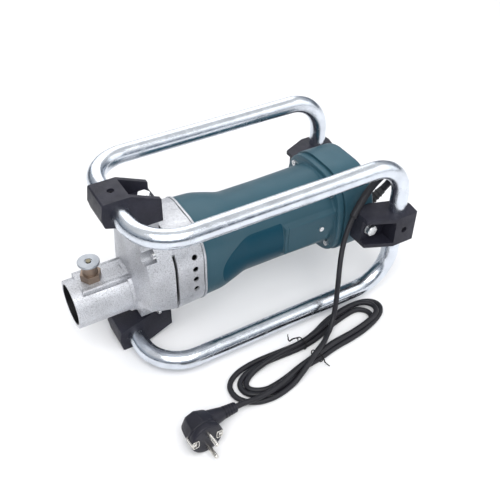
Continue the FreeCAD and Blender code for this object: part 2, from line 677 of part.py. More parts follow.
def make_stator():
    ring = tube(core_front - 1, core_rear + 1, housing_bore - seat, rotor_r + 1.0, 0, motor_z)
    slots = [box(core_front - 2, core_rear + 2, -14, 14, motor_z + s * 33 - 6, motor_z + s * 33 + 6)
             for s in (-1, 1)]
    keep("stator_core", ring.cut(Part.makeCompound(slots)))
    coils = []
    for s in (-1, 1):
        coil = box(core_front - 12, core_rear + 12, -13.8, 13.8, motor_z + s * 33 - 5.8,
                   motor_z + s * 33 + 5.8)
        coils.append(coil)
    keep("field_windings", *coils)


def make_brushes():
    x = (comm_front + comm_rear) / 2.0
    holders, brushes = [], []
    for s in (-1, 1):
        y0, y1 = sorted((s * 18.0, s * (housing_bore + 1.0)))
        outer = box(x - 7, x + 7, y0, y1, motor_z - 5.5, motor_z + 5.5)
        outer = outer.common(rod(x - 20, x + 20, housing_bore - seat, 0, motor_z))
        inner = box(x - 5, x + 5, y0 - 1, y1 + 1, motor_z - 3.5, motor_z + 3.5)
        holders.append(outer.cut(inner))
        b0, b1 = sorted((s * 14.3, s * 36.0))
        brushes.append(box(x - 4.9, x + 4.9, b0, b1, motor_z - 3.4, motor_z + 3.4))
    keep("brush_holders", *holders)
    keep("carbon_brushes", *brushes)


# ---- locking plunger ----
def make_lock():
    x = -lock_at
    z = lock_seat
    body = fused(hexagon(lock_hex, 9.0, V(x, 0, z), V(0, 0, 1)),
                 Part.makeCylinder(8.0, 4.6, V(x, 0, z - 4.5)),
                 Part.makeCylinder(8.5, 11.5, V(x, 0, z + 8.9)))
    cavity = Part.makeCylinder(6.5, 30, V(x, 0, z - 3.0))
    guide = Part.makeCylinder(4.0 + running, 30, V(x, 0, z - 10))
    keep("lock_body", body.cut(cavity).cut(guide))
    top = z + 20.4
    keep("lock_cap", Part.makeCylinder(6.5 - seat, 3.0, V(x, 0, top - 3.0)).cut(
        Part.makeCylinder(3.0 + running, 9, V(x, 0, top - 6))))
    flange = z - 3.0
    pin = fused(Part.makeCylinder(4.0, 9.0, V(x, 0, flange - 8.5)),
                Part.makeCylinder(6.3, 2.0, V(x, 0, flange + 0.1)),
                Part.makeCylinder(3.0, 27.7, V(x, 0, flange + 1.0)))
    keep("lock_pin", pin)
    disc = Part.makeCylinder(12.5, 2.6, V(x, 0, z + 22.4))
    disc = disc.makeFillet(0.6, disc.Edges[0:1])
    hole = Part.makeCylinder(3.0 + seat, 9, V(x, 0, z + 20))
    recess = Part.makeCylinder(4.3, 1.0, V(x, 0, z + 24.3))
    keep("pull_knob", disc.cut(hole).cut(recess))
    spring_low, spring_high = flange + 2.15, top - 3.05
    height = spring_high - spring_low
    turns = 6
    helix = Part.makeHelix(height / turns * 0.86, height * 0.86, 5.0)
    ring = Part.Wire(Part.Circle(V(5.0, 0, 0), V(0, 1, 0), 0.55).toShape())
    coil = helix.makePipeShell([ring], True, True)
    coil.translate(V(x, 0, spring_low + height * 0.07))
    keep("lock_spring", coil)


# ---- mains cord ----
# route of the free lead, from the boot over the rear and down to the hank
cord_route = [boot_root + boot_dir * cord_start, V(drum_rear + 38.8, -38, motor_z + 18.9),
              V(drum_rear + 45.0, -45.4, motor_z + 41.3)]
cord_route += [V(drum_rear + x, -cage_half_width + y, motor_z + z) for x, y, z in (
    (32.8, 31.6, 60.3), (9.4, 24.2, 64.2), (-10.5, 22.5, 53.5), (-27.5, 19.0, 38.0),
    (-47.0, 12.5, 17.5))]
cord_route += [V(drum_rear + x, -cage_half_width + y, z) for x, y, z in (
    (-61.5, 4.0, 97), (-72.5, -7.5, 78), (-80.0, -17.5, 56), (-85.0, -24.0, 34),
    (-90.5, -29.5, 14.5), (-103.5, -39.5, 2.0), (-118.5, -49.5, -1.5))]
guard_parts = 13         # straights and arcs of the route inside the rubber guard
hank_mid = V(drum_rear - 141.5, -cage_half_width - 55.0, 0)
lead_start = hank_mid + V(-97.0, -26.5, -1.0)
hank_low, hank_high = -lift, 6.0
hank_edge = [(-116, -7.5), (-113, 8.5), (-99, 21.5), (-75, 26), (-35, 25.5), (-3, 23.5),
             (21, 28.5), (43, 36.5), (71, 40), (97, 40.5), (121, 38.5), (130, 26.5), (122, 10.5),
             (109, -1.5), (87, -8), (55, -9), (25, -10.5), (0, -18.5), (-30, -29.5),
             (-65, -38.5), (-93, -35.5), (-111, -24.5)]
left_eye = [(-70, -4.5), (-61, 4.5), (-40, 9.5), (-19, 7.5), (-29, -6.5), (-49, -14.5),
            (-67, -15.5)]
right_eye = [(45, 18.5), (63, 25.5), (83, 28.5), (96, 21.5), (87, 12.5), (65, 9.5)]
plug_face = hank_mid + V(-169.5, -55.0, 12.9)
plug_out = V(0.074, -0.996, 0.051).normalize()
plug_lead_dir = V(0.992, 0.078, -0.095).normalize()
plug_r = 19.0
plug_neck = 22.5         # lead axis behind the plug's face
boot_end = 50.0          # plug axis to the end of its boot
boot_socket = 6.0


def spline_slab(points, z0, z1):
    curve = Part.BSplineCurve()
    curve.interpolate([hank_mid + V(x, y, z0) for x, y in points], PeriodicFlag=True)
    return Part.Face(Part.Wire(curve.toShape())).extrude(V(0, 0, z1 - z0))


def make_cord():
    shape, radii = piped(cord_route, cord_r)
    print("cord arc radii", ["%.0f" % r for r in radii])
    wire = tangent_path(cord_route)[0]
    lead_route = [lead_start, plug_point(boot_end + 11.0), plug_point(boot_end - boot_socket + seat)]
    print("cord length %.0f, volume ratio %.3f" % (
        wire.Length, shape.Volume / (math.pi * cord_r ** 2 * wire.Length)))
    keep("power_cord", shape)
    guard_line = Part.Wire(wire.OrderedEdges[:guard_parts])
    guard = swept(guard_line, sleeve_r, cord_route[0], boot_dir).cut(
        swept(guard_line, cord_r + seat, cord_route[0], boot_dir))
    boot_room = Part.makeCylinder(2 * sleeve_r, boot_len + seat, boot_root, boot_dir)
    keep("cord_guard", guard.cut(boot_room))
    slab = spline_slab(hank_edge, hank_low, hank_high)
    eyes = [spline_slab(p, hank_low - 1, hank_high + 1) for p in (left_eye, right_eye)]
    keep("cord_hank", slab.cut(Part.makeCompound(eyes)))
    keep("plug_lead", piped(lead_route, cord_r)[0])


def plug_axes():
    # X along the lead, Z out along the pins
    z = plug_out
    x = (plug_lead_dir - z * plug_lead_dir.dot(z)).normalize()
    return x, z.cross(x), z


def plug_point(along):
    x, y, z = plug_axes()
    return plug_face + x * along - z * plug_neck


def plug_local(shape):
    x, y, z = plug_axes()
    m = FreeCAD.Matrix(x.x, y.x, z.x, plug_face.x, x.y, y.y, z.y, plug_face.y,
                       x.z, y.z, z.z, plug_face.z, 0, 0, 0, 1)
    moved = shape.copy()
    moved.transformShape(m, True)
    return moved


def make_plug():
    face = Part.makeCylinder(plug_r, 14.0, V(0, 0, -14))
    back = Part.makeCone(12.0, plug_r, 18.0, V(0, 0, -32))
    neck = Part.makeCylinder(8.6, 26.0, V(0, 0, -plug_neck), V(1, 0, 0))
    boot = Part.makeCone(8.0, 6.0, boot_end - 26.0, V(26, 0, -plug_neck), V(1, 0, 0))
    ribs = [Part.makeCylinder(8.2 - 0.3 * i, 2.0, V(28 + 4.2 * i, 0, -plug_neck), V(1, 0, 0))
            for i in range(5)]
    body = fused(face, back, neck, boot, *ribs)
    cuts = [Part.makeBox(4.0, 7.0, 30.0, V(s * plug_r - 2.0, -3.5, -16.0)) for s in (-1, 1)]
    cuts += [Part.makeCylinder(plug_pin_r + seat, 12.0, V(0, s * plug_pin_gap / 2, -10))
             for s in (-1, 1)]
    cuts.append(Part.makeCylinder(cord_r + seat, 12.0, V(boot_end - boot_socket, 0, -plug_neck),
                                  V(1, 0, 0)))
    keep("plug_body", plug_local(body.cut(Part.makeCompound(cuts))))
    pins = []
    for s in (-1, 1):
        pin = Part.makeCylinder(plug_pin_r, plug_pin_len + 9.0, V(0, s * plug_pin_gap / 2, -9.0))
        tip = [e for e in pin.Edges if abs(e.CenterOfMass.z - plug_pin_len) < 0.01
               and e.Curve.TypeId == "Part::GeomCircle"]
        pins.append(plug_local(pin.makeFillet(1.6, tip)))
    keep("plug_pins", *pins)
    clips = [Part.makeBox(1.2, 6.0, 15.0, V(s * (plug_r - 1.3) - 0.6, -3.0, -15.5)) for s in (-1, 1)]
    keep("plug_earth_clips", *[plug_local(c) for c in clips])


def make_ties():
    loops = []
    for x, y, turn in ((-2, 18, 8), (5, -11, 24)):
        ring = Part.makeTorus(9.0, 0.7, V(0, 0, 0), V(1, 0, 0))
        ring.rotate(V(0, 0, 0), V(0, 0, 1), turn)
        ring.translate(hank_mid + V(x, y, hank_low + 9.9))
        loops.append(ring)
    keep("twist_ties", *loops)


def main():
    os.makedirs("parts", exist_ok=True)
    for step in (make_cage, make_brackets, make_gear_case, make_bearing_plate, make_air_baffle,
                 make_vent_ring, make_motor_housing, make_housing_trim, make_rear_cover,
                 make_switch, make_strain_relief, make_gears, make_spindle, make_bearings,
                 make_rotor, make_stator, make_brushes, make_lock, make_cord, make_plug, make_ties):
        step()
        print(step.__name__, "done")
    for name, shape in pieces.items():
        b = shape.BoundBox
        print("%-22s solids %d valid %s x %.1f..%.1f y %.1f..%.1f z %.1f..%.1f" % (
            name, len(shape.Solids), shape.isValid(), b.XMin, b.XMax, b.YMin, b.YMax, b.ZMin, b.ZMax))
        shape.exportStep("parts/%s.step" % name)


main()
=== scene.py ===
import json
import math
import bmesh
import bpy
import numpy as np
from mathutils import Matrix, Vector

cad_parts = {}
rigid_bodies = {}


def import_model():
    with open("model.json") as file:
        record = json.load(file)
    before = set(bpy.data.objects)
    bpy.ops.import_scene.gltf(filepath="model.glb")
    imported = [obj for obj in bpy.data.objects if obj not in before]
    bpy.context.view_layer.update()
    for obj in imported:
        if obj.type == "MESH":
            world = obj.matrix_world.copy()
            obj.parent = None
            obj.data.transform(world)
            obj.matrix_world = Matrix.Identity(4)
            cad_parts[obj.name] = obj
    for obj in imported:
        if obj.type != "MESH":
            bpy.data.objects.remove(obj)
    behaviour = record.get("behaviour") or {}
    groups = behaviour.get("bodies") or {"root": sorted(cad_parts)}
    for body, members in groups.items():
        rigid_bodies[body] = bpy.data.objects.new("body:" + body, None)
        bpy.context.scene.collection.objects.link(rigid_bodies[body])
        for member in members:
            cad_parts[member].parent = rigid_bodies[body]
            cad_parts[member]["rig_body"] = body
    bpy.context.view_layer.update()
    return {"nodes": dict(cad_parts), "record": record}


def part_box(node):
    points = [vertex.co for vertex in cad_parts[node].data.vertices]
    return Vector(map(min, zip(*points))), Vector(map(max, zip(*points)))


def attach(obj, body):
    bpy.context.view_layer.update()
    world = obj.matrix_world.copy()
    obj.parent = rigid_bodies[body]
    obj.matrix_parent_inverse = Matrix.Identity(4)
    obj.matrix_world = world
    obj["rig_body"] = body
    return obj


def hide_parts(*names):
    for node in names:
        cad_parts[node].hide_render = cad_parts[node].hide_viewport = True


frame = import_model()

nodes = frame["nodes"]
print("stage: frame loaded,", len(nodes), "nodes")


# places worked out from the frame, in metres
tubeRadius = 0.011
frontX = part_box("top_frame_tube")[0].x + tubeRadius      # axis of the front cross tubes
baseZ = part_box("bottom_frame_tube")[0].z                 # underside of the lower tubes


def axisHeight(name):
    low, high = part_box(name)
    return (low.z + high.z) / 2


motorZ = axisHeight("rotor_shaft")
noseZ = axisHeight("output_spindle")


def spots(rows):
    # millimetres behind the front cross tubes, right of centre, above the lower tubes
    return np.array(rows, float) / 1000 + np.array([frontX, 0, baseZ])


# mesh helpers
def grid(points, closed=False, capped=False):
    # points[u, v, xyz]: quads join each point to the next along u and round v; closed joins the
    # last row to the first, and capped puts one face over each end
    nu, nv = points.shape[:2]
    index = np.arange(nu * nv).reshape(nu, nv)
    a = index if closed else index[:-1]
    b = np.roll(index, -1, 0) if closed else index[1:]
    quads = np.stack([a, b, np.roll(b, -1, 1), np.roll(a, -1, 1)], -1).reshape(-1, 4)
    caps = [index[0], index[-1][::-1]] if capped else []
    return points.reshape(-1, 3), quads, caps


def meshPiece(name, *grids):
    # one smooth mesh from one grid or several
    verts, faces, start = [], [], 0
    for points, quads, caps in grids:
        verts.append(points)
        faces += (quads + start).tolist() + [(cap + start).tolist() for cap in caps]
        start += len(points)
    mesh = bpy.data.meshes.new(name)
    mesh.from_pydata(np.concatenate(verts).tolist(), [], faces)
    mesh.polygons.foreach_set("use_smooth", np.ones(len(faces), bool))
    mesh.update()
    return placed(name, mesh)


def placed(name, data):
    obj = bpy.data.objects.new(name, data)
    bpy.context.scene.collection.objects.link(obj)
    return obj


def unit(v):
    return v / np.linalg.norm(v, axis=-1, keepdims=True)


def pipe(path, radius, sides=24, capped=True):
    # a circle carried along the path: point = path + radius (cos a side + sin a up),
    # where side and up are turned from one station to the next without twist
    path = np.asarray(path, float)
    heading = unit(np.gradient(path, axis=0))
    side = np.cross(heading[0], [0.0, 0.0, 1.0])
    if np.linalg.norm(side) < 1e-3:
        side = np.cross(heading[0], [0.0, 1.0, 0.0])
    side = unit(side)
    frames = []
    for h in heading:
        side = unit(side - h * side.dot(h))
        frames.append(side)
    side = np.array(frames)
    up = np.cross(heading, side)
    angle = np.linspace(0, 2 * np.pi, sides, endpoint=False)
    ring = np.cos(angle)[None, :, None] * side[:, None] + np.sin(angle)[None, :, None] * up[:, None]
    reach = np.broadcast_to(np.asarray(radius, float).reshape(-1, 1), (len(path), sides))
    return grid(path[:, None] + ring * reach[..., None], capped=capped)


def roundedSquare(wide, high, power, angle):
    # superellipse: y = wide cos^(2/p), z = high sin^(2/p), signs kept
    c, s = np.cos(angle), np.sin(angle)
    return (wide * np.sign(c) * np.abs(c) ** (2 / power), high * np.sign(s) * np.abs(s) ** (2 / power))


def alongRow(row, t):
    # points at t, counted in steps from one listed point to the next
    row = np.array(row, float)
    return np.column_stack([np.interp(t, np.arange(len(row)), row[:, k]) for k in range(row.shape[1])])


def smooth(t):
    t = np.clip(t, 0, 1)
    return t * t * (3 - 2 * t)


# camera, light and floor
shot = dict(azimuth=-31.01, elevation=40.58, roll=0.92, lens=50.71, place=(-183.2, -591.4, 649.9))


def makeCamera():
    a, e, r = (math.radians(shot[k]) for k in ("azimuth", "elevation", "roll"))
    back = Vector((math.sin(a) * math.cos(e), -math.cos(a) * math.cos(e), math.sin(e)))
    right = Vector((math.cos(a), math.sin(a), 0))
    up = back.cross(right)
    across = right * math.cos(r) + up * math.sin(r)
    above = up * math.cos(r) - right * math.sin(r)
    data = bpy.data.cameras.new("camera")
    data.lens = shot["lens"]
    data.sensor_width = 36
    cam = placed("camera", data)
    turn = Matrix((across, above, back)).transposed().to_4x4()
    cam.matrix_world = Matrix.Translation(Vector(spots(shot["place"]))) @ turn
    bpy.context.scene.camera = cam


middle = (0, 0, 0.1)
lamps = dict(keyLight=dict(place=(-0.5, -0.9, 1.5), size=1.4, power=26),
             fillLight=dict(place=(1.3, -0.9, 0.9), size=1.6, power=9),
             rimLight=dict(place=(0.4, 1.3, 1.1), size=1.6, power=12))
# a dark low wall round a white studio gives bright metal its bands: height, colour
sky = dict(strength=0.75,
           bands=((0.02, (0.10, 0.13, 0.17)), (0.20, (0.12, 0.15, 0.19)), (0.30, (0.75, 0.80, 0.86)),
                  (0.42, (0.42, 0.46, 0.52)), (0.62, (1, 1, 1))))


def areaLight(name, place, size, power):
    data = bpy.data.lights.new(name, "AREA")
    data.size = size
    data.energy = power
    lamp = placed(name, data)
    lamp.location = place
    lamp.rotation_mode = "QUATERNION"
    lamp.rotation_quaternion = (Vector(middle) - Vector(place)).to_track_quat("-Z", "Y")


def makeLights():
    for name, lamp in lamps.items():
        areaLight(name, **lamp)
    world = bpy.data.worlds.new("studio")
    world.use_nodes = True
    tree = world.node_tree
    back = tree.nodes["Background"]
    back.inputs["Strength"].default_value = sky["strength"]
    place = tree.nodes.new("ShaderNodeTexCoord")
    split = tree.nodes.new("ShaderNodeSeparateXYZ")
    ramp = tree.nodes.new("ShaderNodeValToRGB")
    stops = ramp.color_ramp.elements
    stops.remove(stops[1])
    for n, (height, colour) in enumerate(sky["bands"]):
        stop = stops[0] if n == 0 else stops.new(height)
        stop.position = height
        stop.color = (*colour, 1)
    tree.links.new(place.outputs["Generated"], split.inputs["Vector"])
    tree.links.new(split.outputs["Z"], ramp.inputs["Fac"])
    tree.links.new(ramp.outputs["Color"], back.inputs["Color"])
    bpy.context.scene.view_settings.view_transform = "Standard"
    bpy.context.scene.world = world


floorLook = dict(half=4.0, colour=(0.86, 0.86, 0.87, 1), rough=0.7)


def makeFloor():
    mesh = bpy.data.meshes.new("floor")
    corners = np.array([(-1, -1, 0), (1, -1, 0), (1, 1, 0), (-1, 1, 0)]) * floorLook["half"]
    mesh.from_pydata(corners.tolist(), [], [(0, 1, 2, 3)])
    paint = bpy.data.materials.new("paleFloor")
    paint.use_nodes = True
    shader = paint.node_tree.nodes["Principled BSDF"]
    shader.inputs["Base Color"].default_value = floorLook["colour"]
    shader.inputs["Roughness"].default_value = floorLook["rough"]
    mesh.materials.append(paint)
    placed("floor", mesh)


makeCamera()
makeLights()
makeFloor()
print("stage: camera, lights and floor")


# finishes: colour patches, fine grain, uneven gloss and, on the cast metal, painted shade inside bores, all
# on object coordinates
def finish(name, colour, rough, metal=0.0, patch=0.12, patchScale=22, grain=0.15, grainScale=900,
           gloss=0.12, coat=0.0, speck=None, depth=0.0004, inside=None, shine=0.5):
    mat = bpy.data.materials.new(name)
    mat.use_nodes = True
    tree = mat.node_tree
    add, link = tree.nodes.new, tree.links.new
    shader = tree.nodes["Principled BSDF"]
    shader.inputs["Metallic"].default_value = metal
    shader.inputs["Coat Weight"].default_value = coat
    shader.inputs["Specular IOR Level"].default_value = shine
    place = add("ShaderNodeTexCoord").outputs["Object"]

    def noise(scale, detail=4.0):
        tex = add("ShaderNodeTexNoise")
        tex.inputs["Scale"].default_value = scale
        tex.inputs["Detail"].default_value = detail
        link(place, tex.inputs["Vector"])
        return tex.outputs["Fac"]

    def spread(source, low, high):
        ramp = add("ShaderNodeMapRange")
        ramp.inputs["From Min"].default_value = 0.3
        ramp.inputs["From Max"].default_value = 0.7
        ramp.inputs["To Min"].default_value = low
        ramp.inputs["To Max"].default_value = high
        link(source, ramp.inputs["Value"])
        return ramp.outputs["Result"]

    tint = add("ShaderNodeMix")
    tint.data_type = "RGBA"
    dark = [c * (1 - patch) for c in colour]
    pale = [min(1.0, c * (1 + patch)) for c in colour]
    tint.inputs["A"].default_value = (*dark, 1)
    tint.inputs["B"].default_value = (*pale, 1)
    link(spread(noise(patchScale), 0, 1), tint.inputs["Factor"])
    result = tint.outputs["Result"]

    if speck:
        dots = add("ShaderNodeMix")
        dots.data_type = "RGBA"
        link(result, dots.inputs["A"])
        dots.inputs["B"].default_value = (*speck["colour"], 1)
        link(spread(noise(speck["scale"], 2.0), -speck["rare"], speck["much"]), dots.inputs["Factor"])
        result = dots.outputs["Result"]
    if inside:
        # painted shade inside a bore: (|y| / wide)^p + (|z| / high)^p is 1 on the skin and less inside it,
        # and there the colour is blended to near black
        split = add("ShaderNodeSeparateXYZ")
        link(place, split.inputs["Vector"])

        def maths(operation, first, second=0.0):
            node = add("ShaderNodeMath")
            node.operation = operation
            link(first, node.inputs[0])
            if isinstance(second, (int, float)):
                node.inputs[1].default_value = second
            else:
                link(second, node.inputs[1])
            return node.outputs["Value"]

        lifted = maths("SUBTRACT", split.outputs["Z"], inside["axisZ"])
        shares = [maths("POWER", maths("MULTIPLY", maths("ABSOLUTE", v), 1 / half), inside["power"])
                  for v, half in ((split.outputs["Y"], inside["wide"]), (lifted, inside["high"]))]
        away = maths("POWER", maths("ADD", *shares), 1 / inside["power"])
        edge = add("ShaderNodeMapRange")
        edge.inputs["From Min"].default_value = 1.0 - inside["fade"]
        edge.inputs["From Max"].default_value = 1.0
        link(away, edge.inputs["Value"])
        shade = add("ShaderNodeMix")
        shade.data_type = "RGBA"
        # near-black colour of the painted shade inside bores and holes
        shade.inputs["A"].default_value = (0.012, 0.012, 0.014, 1)
        link(result, shade.inputs["B"])
        link(edge.outputs["Result"], shade.inputs["Factor"])
        result = shade.outputs["Result"]
    link(result, shader.inputs["Base Color"])
    link(spread(noise(patchScale * 2.3), rough - gloss / 2, rough + gloss / 2), shader.inputs["Roughness"])
    bump = add("ShaderNodeBump")
    bump.inputs["Strength"].default_value = grain
    bump.inputs["Distance"].default_value = depth
    link(noise(grainScale, 3.0), bump.inputs["Height"])
    link(bump.outputs["Normal"], shader.inputs["Normal"])
    return mat


darkSpeck = dict(colour=(0.14, 0.14, 0.16), scale=1100, rare=0.6, much=0.7)
nylonSpeck = dict(colour=(0.06, 0.06, 0.08), scale=1300, rare=1.1, much=0.5)
# painted shade: inside the nose bore, and inside the ring's bore and vent holes
noseBorePaintedShade = dict(axisZ=noseZ, wide=0.0252, high=0.0252, power=2.0, fade=0.03)
ringHolesPaintedShade = dict(axisZ=motorZ, wide=0.0544, high=0.0564, power=2.8, fade=0.012)
# name, colour, roughness, metal, patchiness and its scale, grain and its scale, unevenness of the gloss
finishes = dict(
    cast_aluminium=finish("castAluminium", (0.58, 0.59, 0.62), 0.46, 0.68, 0.16, 30, 1.0, 700, 0.20,
                          speck=darkSpeck, depth=0.0006, inside=noseBorePaintedShade),
    cast_aluminium_ring=finish("machinedRing", (0.60, 0.61, 0.64), 0.40, 0.70, 0.12, 40, 0.7, 900, 0.16,
                               speck=darkSpeck, inside=ringHolesPaintedShade),
    housing_plastic=finish("tealHousing", (0.026, 0.080, 0.110), 0.44, 0.0, 0.10, 14, 0.25, 1500, 0.10,
                           shine=0.35),
    cover_plastic=finish("tealCover", (0.026, 0.080, 0.110), 0.44, 0.0, 0.10, 16, 0.25, 1500, 0.10,
                         shine=0.35),
    label_film=finish("labelFilm", (0.001, 0.045, 0.075), 0.40, 0.0, 0.05, 40, 0.06, 1800, 0.06, shine=0.2),
    bracket_nylon=finish("bracketNylon", (0.015, 0.015, 0.024), 0.50, 0.0, 0.25, 45, 0.5, 1100, 0.14,
                         speck=nylonSpeck, shine=0.25),
    zinc_tube=finish("brightTube", (0.66, 0.70, 0.76), 0.21, 1.0, 0.10, 60, 0.30, 900, 0.16),
    zinc_fasteners=finish("zincPlate", (0.72, 0.73, 0.74), 0.30, 1.0, 0.10, 120, 0.25, 900, 0.16),
    black_steel=finish("blackOxide", (0.030, 0.030, 0.034), 0.45, 0.7, 0.2, 150, 0.3, 1100, 0.15),
    black_plastic=finish("blackMoulding", (0.012, 0.012, 0.015), 0.50, 0.0, 0.15, 60, 0.35, 1400, 0.12),
    rocker_plastic=finish("rockerMoulding", (0.030, 0.030, 0.034), 0.30, 0.0, 0.1, 60, 0.15, 1600, 0.08,
                          coat=0.2),
    bearing_steel=finish("groundSteel", (0.66, 0.67, 0.70), 0.22, 1.0, 0.05, 80, 0.12, 1500, 0.08),
    seal_rubber=finish("sealRubber", (0.020, 0.020, 0.022), 0.66, 0.0, 0.12, 90, 0.3, 1300, 0.1),
    core_steel=finish("coreSheets", (0.30, 0.30, 0.32), 0.46, 1.0, 0.14, 90, 0.5, 1400, 0.14),
    winding_copper=finish("enamelCopper", (0.62, 0.24, 0.09), 0.32, 0.9, 0.2, 160, 0.7, 1200, 0.14),
    holder_brass=finish("holderBrass", (0.62, 0.46, 0.18), 0.32, 1.0, 0.1, 90, 0.2, 900, 0.12),
    brush_carbon=finish("brushCarbon", (0.025, 0.025, 0.028), 0.62, 0.2, 0.2, 150, 0.5, 1500, 0.1),
    lock_bronze=finish("dullBronze", (0.25, 0.19, 0.15), 0.40, 0.85, 0.10, 70, 0.25, 900, 0.14),
    pin_brass=finish("pinBrass", (0.20, 0.18, 0.13), 0.38, 1.0, 0.1, 90, 0.15, 900, 0.1),
    knob_zinc=finish("turnedZinc", (0.34, 0.36, 0.39), 0.36, 1.0, 0.06, 60, 0.2, 900, 0.12),
    spring_steel=finish("springSteel", (0.50, 0.50, 0.52), 0.30, 1.0, 0.1, 90, 0.2, 900, 0.1),
    shaft_steel=finish("shaftSteel", (0.58, 0.58, 0.60), 0.28, 1.0, 0.08, 70, 0.2, 1000, 0.12),
    cord_rubber=finish("cordRubber", (0.012, 0.012, 0.016), 0.50, 0.0, 0.20, 60, 0.35, 1200, 0.16,
                       shine=0.35),
    plug_rubber=finish("plugRubber", (0.010, 0.010, 0.018), 0.46, 0.0, 0.18, 50, 0.35, 1300, 0.14,
                       shine=0.35),
    pin_nickel=finish("pinNickel", (0.70, 0.68, 0.64), 0.24, 1.0, 0.08, 90, 0.15, 900, 0.1),
    tie_plastic=finish("tieWire", (0.006, 0.006, 0.007), 0.50, 0.0, 0.12, 120, 0.3, 1400, 0.1, shine=0.2),
)


def dress(obj, slot):
    obj.data.materials.clear()
    obj.data.materials.append(finishes[slot])


def added(obj, slot, body, *stoodFor):
    dress(obj, slot)
    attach(obj, body)
    if stoodFor:
        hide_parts(*stoodFor)
    return obj


# every CAD node takes its slot's finish; some are replaced further on
slotOf = {part["node"]: part["material_slot"] for part in frame["record"]["subparts"]}
for name, slotName in slotOf.items():
    nodes[name].data.materials.clear()
    nodes[name].data.materials.append(finishes[slotName])
print("stage: finishes on", len(nodes), "nodes")


# mains cord: out of the boot, over the rear bend, down to the floor and round the hank
cord = dict(diameter=0.0066, floor=-3.7, layer=5.4, bootLength=38.0, start=22.0,
            root=(316.5, -38.0, 96.0), heading=(0.84, 0.0, 0.54))
freeRun = [(355.3, -38, 120.9), (361.5, -45.4, 143.3), (349.3, -55.9, 162.3), (325.9, -63.3, 166.2),
           (306, -65, 155.5), (289, -68.5, 140), (269.5, -75, 119.5), (255, -83.5, 97), (244, -95, 78),
           (236.5, -105, 56), (231.5, -111.5, 34), (226, -117, 14.5), (214, -127, 5.5),
           (205, -133, 4.8), (196, -140.5, 6.5), (184, -147.5, 8.6), (171, -154, 8.4), (158, -160.5, 4.6),
           (145, -166, 1.0)]
leftLobe = np.array([(158, -160), (132, -170.5), (106, -176), (84, -173), (68, -162), (62.5, -147),
                     (67, -132), (84, -122), (108, -118.5), (140, -119.5), (172, -121.5)], float)
leftStep = np.array([(-1, 5), (0, 7), (0, 8), (6, 8.5), (10, 6), (12.5, 1), (12, -4), (9, -6), (6, -7),
                     (3, -7), (1, -6.8)], float)
rightLobe = np.array([(200, -115.5), (222, -105.5), (246, -100.5), (272, -98), (290, -101),
                      (300.5, -109), (301, -121), (289, -132), (264, -141), (238, -146), (208, -148),
                      (181, -153.5)], float)
rightStep = np.array([(2, -8), (2, -10), (0, -10), (-6, -9.5), (-14, -10), (-18, -12.5), (-24, -11),
                      (-22, -3), (-24, 3), (-24, 6.5), (-8, 6), (3, 7)], float)
leadOut = [(172, -151, 2.4), (148, -157, 3.0), (122, -166, 3.0), (98, -171, 2.8), (81, -171.3, 3.4),
           (66, -170.8, 5.4), (53.5, -171.64, 7.02), (49.5, -171.92, 7.4)]


def hankPoints():
    # each turn is the outer outline moved inwards by its share of the step, and the third
    # turn climbs onto the two before it where the bundles are tied
    i, j = np.arange(11), np.arange(12)
    inner = np.interp(i, [0, 2, 3, 5, 7, 8, 9, 10], [1.9, 1.8, 1.65, 1.6, 1.7, 1.6, 0.95, 0.5])
    shares = [(0 * i, 0 * j), (0 * i + 1, 0 * j + 1), (inner, 0 * j + 0.5)]
    climbs = [(0 * i, 0 * j), (0 * i, 0 * j),
              (np.interp(i, [0, 6, 7, 8, 9, 10], [0, 0, 0.35, 0.95, 1.15, 1.08]),
               np.interp(j, [0, 3, 5, 8, 11], [1.05, 0.95, 0.9, 0.95, 1.1]))]
    rows = []
    for (leftShare, rightShare), (leftUp, rightUp) in zip(shares, climbs):
        left = leftLobe + leftStep * leftShare[:, None]
        right = rightLobe + rightStep * rightShare[:, None]
        flat = np.concatenate([left, right])
        up = np.concatenate([leftUp, rightUp]) * cord["layer"] + cord["floor"]
        rows.append(np.column_stack([flat, up]))
    return np.concatenate(rows)[1:]


def makeCord():
    root, heading = np.array(cord["root"]), unit(np.array(cord["heading"]))
    first = root + heading * cord["start"]
    route = spots(np.concatenate([[first], freeRun, hankPoints(), leadOut]))
    data = bpy.data.curves.new("mainsCord", "CURVE")
    data.dimensions = "3D"
    spline = data.splines.new("NURBS")
    spline.points.add(len(route) - 1)
    spline.points.foreach_set("co", np.column_stack([route, np.ones(len(route))]).ravel())
    spline.order_u = 3
    spline.use_endpoint_u = True
    spline.resolution_u = 8
    curve = placed("mainsCord", data)
    bpy.context.view_layer.update()
    line = bpy.data.meshes.new_from_object(curve.evaluated_get(bpy.context.evaluated_depsgraph_get()))
    path = np.zeros(len(line.vertices) * 3)
    line.vertices.foreach_get("co", path)
    bpy.data.meshes.remove(line)
    data.bevel_depth = cord["diameter"] / 2
    data.bevel_resolution = 5
    data.use_fill_caps = True
    return curve, path.reshape(-1, 3), spots([first])[0]


cordCurve, cordLine, cordExit = makeCord()
cordSteps = np.linalg.norm(np.diff(cordLine, axis=0), axis=1)
cordRun = np.concatenate([[0], np.cumsum(cordSteps)])
print("stage: cord, %.3f m" % cordRun[-1])


sleeve = dict(radius=0.0047, gap=0.0004, end=(272.5, -74.2, 122.5), stations=150, sides=28,
              taper=0.14, taperShare=0.006, ripple=0.006, ripples=90)


